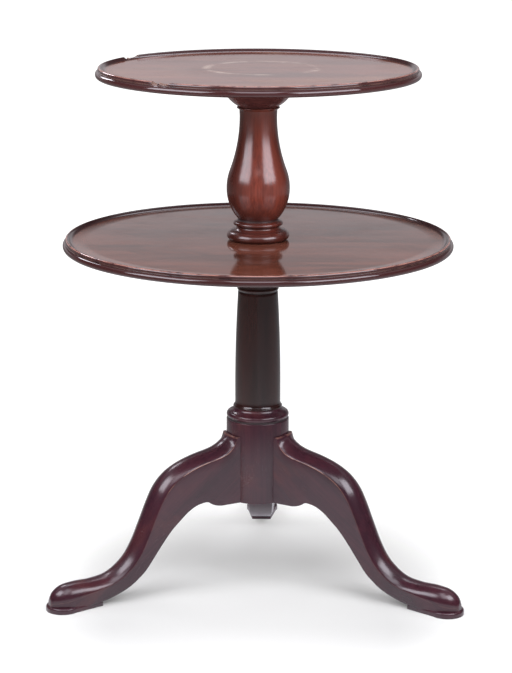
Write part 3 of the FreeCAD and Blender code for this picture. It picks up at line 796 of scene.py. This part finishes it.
def wood(name, dark, light, gloss, rim=None, mark=None, patches=None, painted_shade=False):
    """Polished wood: grain, pores, dirt and rubbed edges, partly painted highlight; on a tray also a rim
    darkened partly as painted shade, a pale crest, worn and partly painted highlight, and a ring mark;
    painted light and shade on the stem.

    rim is the tray's radius, mark the centre and radius of the ring, patches the colour of blotches.
    """
    shader = Shader(bpy.data.materials.new(name))
    plank = shader.attribute("plank", "Vector")
    dirt = shader.attribute("dirt")
    worn = shader.attribute("worn")
    figure = shader.noise(plank, (3.5, 26, 26), 4, 0.55, 0.6)
    streaks = shader.noise(plank, (8, 380, 380), 3, 0.6)
    pores = shader.noise(plank, (70, 1900, 1900), 2)
    smudge = shader.noise(plank, (14, 14, 14), 4, 0.6)
    tone = figure * 0.65 + streaks * 0.35
    paint = shader.mix(tone.between(0.36, 0.64), tint(dark), tint(light))
    pore_mask = pores.between(0.6, 0.74) * 0.4
    paint = shader.mix(pore_mask, paint, tint(dark, 0.4))
    rough = smudge.between(0.42, 0.75) * 0.06 + pore_mask * 0.1 + gloss
    place = shader.node("ShaderNodeTexCoord", {}, {}, "Object")
    if painted_shade:
        # Painted light and shade: the front is lighter, most of all about the belly's level; the sides and
        # the stem above and below are darker
        flat = shader.vectors("MULTIPLY", place, LEVEL_ONLY, output="Vector")
        facing = shader.vectors("NORMALIZE", flat, output="Vector")
        frontal = shader.vectors("DOT_PRODUCT", facing, PAINTED_LIT_SIDE)
        level = shader.axis(place, "Z")
        off_belly = (level - PAINTED_LIT_LEVEL * MM).magnitude()
        painted_light_band = 1 - off_belly.between(0.03, 0.12) * 0.55
        shaded = 1 - (frontal + smudge * 0.3).between(0.5, 1.22) * painted_light_band
        paint = shader.mix(shaded * 0.9, paint, tint(dark, 0.4))
        footing = 1 - level.between(FOOT_DARK * MM, FOOT_CLEAR * MM)
        paint = shader.mix(footing * 0.5, paint, tint(dark, 0.4))
    if patches:
        cloud = shader.noise(plank, (9, 13, 13), 5, 0.62, 0.4)
        paint = shader.mix(cloud.between(0.5, 0.72) * 0.7, paint, tint(patches))
        paint = shader.mix((1 - cloud.between(0.3, 0.46)) * 0.6, paint, tint(dark, 0.6))
        rough = rough + cloud.between(0.5, 0.72) * 0.05
    if rim:
        across = shader.vectors("MULTIPLY", place, LEVEL_ONLY, output="Vector")
        out = shader.vectors("LENGTH", across)
        # The rim is darker: partly its own tone, partly painted shade on the moulded edge
        on_rim = out.between((rim - RIM_STARTS) * MM, (rim - RIM_FULL) * MM)
        paint = shader.mix(on_rim, paint, RIM_TONE_AND_SHADE_COLOUR)
        # Pale line along the crest of the bead: rubbed finish and a painted highlight
        off_crest = (out - (rim - CREST_LINE) * MM).magnitude()
        rub = shader.noise(place, (45, 45, 45), 4, 0.6)
        crest_wear_and_highlight = (1 - off_crest.between(0.0005, 0.0016)) * rub.between(0.3, 0.55)
        paint = shader.mix(crest_wear_and_highlight * 0.7, paint, CREST_WEAR_AND_HIGHLIGHT_COLOUR)
    if mark:
        centre, radius = mark
        off_ring = (shader.vectors("DISTANCE", place, centre) - radius).magnitude()
        broken = shader.noise(place, (24, 24, 24), 4, 0.6)
        ring = (1 - off_ring.between(0.001, 0.010)) * broken.between(0.42, 0.66)
        paint = shader.mix(ring * 0.5, paint, RING_COLOUR)
    # Rubbed edges are paler: worn finish and a painted highlight
    broken_wear = shader.noise(plank, (70, 70, 70), 3)
    rubbed_and_highlit = worn * broken_wear.between(0.28, 0.55)
    paint = shader.mix(rubbed_and_highlit * 0.75, paint, WEAR_AND_HIGHLIGHT_COLOUR)
    paint = shader.mix(dirt * 0.85, paint, DIRT_COLOUR)
    rough = rough + rubbed_and_highlit * 0.12 + dirt * 0.25
    wave = shader.noise(plank, (16, 16, 16), 2)
    surface_height = wave * 0.5 + streaks * 0.01 - pore_mask * 0.02
    normal = shader.bump(surface_height, 0.08, 0.002)
    inputs = {"Base Color": paint, "Roughness": rough, "Normal": normal, "IOR": WOOD_IOR}
    return shader.finish(shader.node("ShaderNodeBsdfPrincipled", {}, inputs))


def metal(name, dark, light, roughness, metallic):
    """Old metal with uneven tarnish."""
    shader = Shader(bpy.data.materials.new(name))
    place = shader.node("ShaderNodeTexCoord", {}, {}, "Object")
    tarnish = shader.noise(place, (90, 90, 90), 4, 0.6)
    colour = shader.mix(tarnish.between(0.35, 0.7), tint(dark), tint(light))
    rough = roughness + tarnish * 0.2
    normal = shader.bump(tarnish, 0.2, 0.001)
    inputs = {"Base Color": colour, "Roughness": rough, "Metallic": metallic, "Normal": normal}
    return shader.finish(shader.node("ShaderNodeBsdfPrincipled", {}, inputs))


def dress(piece, material, *nodes, body, slot="polished_wood"):
    """Give a new piece its finish, its body and the CAD nodes it stands for."""
    piece.data.materials.clear()
    piece.data.materials.append(material)
    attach(piece, body)
    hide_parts(*nodes)


stem_wood = wood("stem_wood", (0.085, 0.021, 0.015), (0.182, 0.040, 0.025), 0.21, painted_shade=True)
# Dark colour of the upper bearer: painted shade under the upper tray
bearer_wood = wood("bearer_wood", (0.044, 0.014, 0.014), (0.102, 0.031, 0.027), 0.2)
# Ring mark on the upper tray: its centre and radius in metres
tray_mark = ((0.005, 0.018, (UPPER_RIM - DISH_DEPTH) * MM), 0.086)
upper_tray_wood = wood("upper_tray_wood", (0.094, 0.029, 0.017), (0.195, 0.060, 0.037), 0.08,
                       rim=UPPER_RADIUS, mark=tray_mark, patches=(0.225, 0.109, 0.070))
lower_tray_wood = wood("lower_tray_wood", (0.057, 0.019, 0.012), (0.126, 0.041, 0.025), 0.07,
                       rim=LOWER_RADIUS, patches=(0.120, 0.054, 0.041))
# Dark colour of the pillar and the lower bearer: partly the wood's tone, partly painted shade under the
# trays
pillar_wood = wood("pillar_wood", (0.012, 0.005, 0.005), (0.028, 0.009, 0.008), 0.16)
# The purple cast of this colour, on legs and drum, is partly painted reflection of the floor
leg_wood = wood("leg_wood", (0.029, 0.010, 0.016), (0.046, 0.013, 0.020), 0.21,
                patches=(0.066, 0.017, 0.019))
broken_wood = wood("broken_wood", (0.070, 0.038, 0.028), (0.14, 0.08, 0.06), 0.4)
strap_iron = metal("strap_iron", (0.03, 0.028, 0.026), (0.08, 0.065, 0.055), 0.5, 0.6)
screw_steel = metal("screw_steel", (0.12, 0.11, 0.10), (0.28, 0.26, 0.24), 0.32, 0.9)

# Build every piece
UPWARD = (0, 0, 1)
SIDEWAYS = (1, 0, 0)

pillar = make_pillar()
for angle in LEG_ANGLES.values():
    socket_cutter = make_tenon(CURVED_GAP)
    socket_cutter.data.transform(Matrix.Rotation(math.radians(angle), 4, "Z"))
    cut_out(pillar, socket_cutter)
lay_grain(pillar, UPWARD)
dress(pillar, pillar_wood, "pillar", body="base")
# The drum and the ring over it have the finish of the legs
pillar.data.materials.append(leg_wood)
for face in pillar.data.polygons:
    if face.center.z < (DRUM_TOP + DRUM_RING) * MM:
        face.material_index = 1

baluster = make_baluster()
lay_grain(baluster, UPWARD, (0.3, 0.1, 0))
dress(baluster, stem_wood, "baluster", body="base")

lower_block = make_block("turned_lower_block", PILLAR_SHOULDER, LOWER_UNDERSIDE, SPIGOT + PIVOT_FIT)
lay_grain(lower_block, SIDEWAYS, (0.5, 0, 0))
dress(lower_block, pillar_wood, "lower_block", body="lower_turntable")

upper_block = make_block("turned_upper_block", STEM_TOP + CURVED_GAP, UPPER_UNDERSIDE,
                         DOWEL + PIVOT_FIT, DOWEL_TOP)
lay_grain(upper_block, SIDEWAYS, (0.9, 0, 0))
dress(upper_block, bearer_wood, "upper_block", body="upper_turntable")

lower_tray = make_tray("dished_lower_tray", LOWER_RADIUS, LOWER_UNDERSIDE, LOWER_RIM, SPIGOT + PIVOT_FIT)
lay_grain(lower_tray, SIDEWAYS, (0, 0.2, 0))
dress(lower_tray, lower_tray_wood, "lower_tray", body="lower_turntable")

upper_tray = make_tray("dished_upper_tray", UPPER_RADIUS, UPPER_UNDERSIDE, UPPER_RIM)
dress(upper_tray, upper_tray_wood, "upper_tray", body="upper_turntable")
# Chips in the upper rim: angle, size in, along and down in millimetres, and the seed of the lump
CHIPS = [
    (151.0, 9, 9, 5.4, 3),
    (147.0, 8, 15, 3.6, 5),
    (-126.3, 8, 7, 5.6, 8),
    (-122.6, 7, 11, 4.4, 11),
    (-93.2, 2.2, 1.8, 1.6, 2),
]
for angle, wide, long, deep, seed in CHIPS:
    lump = make_lump(angle, UPPER_RADIUS - RIM_CREST, UPPER_RIM, wide, long, deep, seed)
    lump.data.materials.append(broken_wood)
    cut_out(upper_tray, lump)
lay_grain(upper_tray, SIDEWAYS, (0, 0.7, 0))

first_leg = make_leg()
lay_grain(first_leg, (1, 0, -0.75))
for order, (node, angle) in enumerate(LEG_ANGLES.items()):
    leg = first_leg.copy()
    leg.data = first_leg.data.copy()
    leg.name = "carved_" + node
    leg.data.name = leg.name
    bpy.context.scene.collection.objects.link(leg)
    leg.data.transform(Matrix.Rotation(math.radians(angle), 4, "Z"))
    for place in leg.data.attributes["plank"].data:
        place.vector = place.vector + Vector((0, 0.3 * order, 0))
    dress(leg, leg_wood, node, body="base")
bpy.data.objects.remove(first_leg)

for node, material, slot in (
    ("leg_brace", strap_iron, "strap_iron"),
    ("brace_screws", screw_steel, "screw_steel"),
    ("lower_block_screws", screw_steel, "screw_steel"),
    ("upper_block_screws", screw_steel, "screw_steel"),
):
    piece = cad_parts[node]
    piece.data.materials.clear()
    piece.data.materials.append(material)

# Studio: floor and room are white to the eye; in the polish the far floor and the room's front are dark
FLOOR_COLOUR = (0.53, 0.547, 0.514, 1)
FLOOR_SHEEN = (0.92, 0.92, 1.05, 1)
ROOM_SHEEN = (1.0, 0.95, 0.99, 1)
WHITE = (1, 1, 1, 1)
SHADE_PLACE = (0, 0.19, 0)
SHADE_SCALE = (1.2, 0.75, 1)
SHADE_MIDDLE = (0, -0.08, 0)
LEAST_GLOW = 0.03
bpy.ops.object.select_all(action="DESELECT")
bpy.ops.mesh.primitive_plane_add(size=40)
floor = bpy.context.object
floor.name = "floor"
floor_shader = Shader(bpy.data.materials.new("floor_white"))
floor_place = floor_shader.node("ShaderNodeTexCoord", {}, {}, "Object")
floor_far = floor_shader.vectors("LENGTH", floor_place)
floor_oval = floor_shader.node("ShaderNodeMapping", {}, {
    "Vector": floor_place, "Location": SHADE_PLACE, "Scale": SHADE_SCALE,
})
floor_out = floor_shader.vectors("LENGTH", floor_oval)
mirrored = floor_shader.node("ShaderNodeLightPath", {}, {}, "Is Glossy Ray")
floor_side = floor_shader.axis(floor_place, "X")
paper = floor_shader.node("ShaderNodeBsdfDiffuse", {}, {"Color": FLOOR_COLOUR})
floor_front = floor_shader.axis(floor_place, "Y").between(-0.22, -0.45)
floor_near = floor_shader.vectors("DISTANCE", floor_place, SHADE_MIDDLE)
# Painted light on the floor: its glow is brightest round the table's shade, at the front and far off, and
# lifts the middle of the shade; in glossy rays it is a painted reflection, darker far off and on the left
outer_glow = floor_out.between(0.24, 0.52) * 0.6
middle_glow = (1 - floor_near.between(0.1, 0.35)) * 0.13
far_glow = floor_far.between(0.5, 2.5) * 0.5
white_glow = outer_glow + floor_front * 0.35 + far_glow + middle_glow + LEAST_GLOW
dark_side = floor_far.between(0.4, 0.9) * (1 - floor_side.between(-0.2, 0.1))
sheen_glow = 0.56 - floor_far.between(0.5, 0.95) * 0.36 - dark_side * 0.14
glow = floor_shader.node("ShaderNodeEmission", {}, {
    "Color": floor_shader.mix(mirrored, WHITE, FLOOR_SHEEN),
    "Strength": mirrored * sheen_glow + (1 - mirrored) * white_glow,
})
floor_surface = floor_shader.node("ShaderNodeAddShader", {}, {0: paper, 1: glow})
# From beneath the floor is clear, so that the underside of the table shows
beneath = floor_shader.node("ShaderNodeNewGeometry", {}, {}, "Backfacing")
clear = floor_shader.node("ShaderNodeBsdfTransparent")
floor_surface = floor_shader.node("ShaderNodeMixShader", {}, {0: beneath, 1: floor_surface, 2: clear})
floor.data.materials.append(floor_shader.finish(floor_surface))

world = bpy.data.worlds.new("studio")
bpy.context.scene.world = world
air = Shader(world)
seen = air.node("ShaderNodeLightPath", {}, {}, "Is Camera Ray")
mirrored = air.node("ShaderNodeLightPath", {}, {}, "Is Glossy Ray")
direction = air.node("ShaderNodeTexCoord", {}, {}, "Generated")
climb = air.axis(direction, "Z")
depth = air.axis(direction, "Y")
backward = depth.between(0.5, 0.85)
# Grey of the wall behind the table, by how steeply a ray climbs
WALL_GREYS = [(0, 0.35), (0.1, 0.5), (0.12, 0.58), (0.182, 0.63), (0.213, 0.34), (0.28, 0.08), (0.5, 0.04)]
wall_stops = [(place, (grey,) * 3) for place, grey in WALL_GREYS]
wall = air.node("ShaderNodeValToRGB", {"stops": wall_stops}, {"Fac": climb})
forward = depth.between(0.2, -0.9)
fill = forward * 0.38 + 0.1
ceiling = climb.between(0.45, 0.75) * 0.5 + 0.03
level = seen + (1 - seen) * (mirrored * (backward * wall + ceiling) + (1 - mirrored) * fill)
air_colour = air.mix(mirrored, WHITE, ROOM_SHEEN)
air.finish(air.node("ShaderNodeBackground", {}, {"Color": air_colour, "Strength": level}))


LIGHT_COLOUR = (1.0, 0.97, 1.06)


def panel(name, wide, tall, power, place, target):
    """A soft rectangular light that the camera doesn't see."""
    bpy.ops.object.light_add(type="AREA", location=place)
    light = bpy.context.object
    light.name = name
    light.data.shape = "RECTANGLE"
    light.data.size = wide
    light.data.size_y = tall
    light.data.energy = power
    light.data.color = LIGHT_COLOUR
    light.visible_camera = False
    light.rotation_euler = (Vector(target) - Vector(place)).to_track_quat("-Z", "Y").to_euler()


def round_table(azimuth, far, level):
    """A place at an angle from the camera's side, rightwards, and at a distance from the table."""
    turn = math.radians(azimuth)
    return far * math.sin(turn), -far * math.cos(turn), level


panel("overhead", 0.85, 1.8, 18, (0, -1.2, 2.2), (0, -0.35, 0.4))
panel("front_left", 0.86, 0.72, 16.5, round_table(-53, 1.05, 1.18), (0, 0, 0.75))
panel("front_right", 0.9, 0.72, 18, round_table(47, 1.05, 1.18), (0, 0, 0.75))
panel("back_top", 1.6, 0.5, 9, (0, 1.2, 2.1), (0, 0, 0.7))
panel("back_left", 0.28, 0.28, 2.4, round_table(-138, 1.2, 1.25), (0, 0, 0.5))

# Camera, fitted to the rims of both trays and to the feet
CAMERA_PLACE = (0.0828, -3.4485, 1.2334)
CAMERA_LENS = 120.1
CAMERA_SENSOR = 36
CAMERA_DOWN = 13.643
CAMERA_LEFT = 1.425
CAMERA_ROLL = 0.119
bpy.ops.object.camera_add(location=CAMERA_PLACE)
camera = bpy.context.object
camera.name = "camera"
camera.data.sensor_width = CAMERA_SENSOR
camera.data.lens = CAMERA_LENS
look = Euler((math.radians(90 - CAMERA_DOWN), 0, math.radians(CAMERA_LEFT))).to_quaternion()
roll = Quaternion((0, 0, 1), math.radians(CAMERA_ROLL))
camera.rotation_mode = "QUATERNION"
camera.rotation_quaternion = look @ roll
bpy.context.scene.camera = camera
bpy.context.scene.view_settings.view_transform = "Standard"
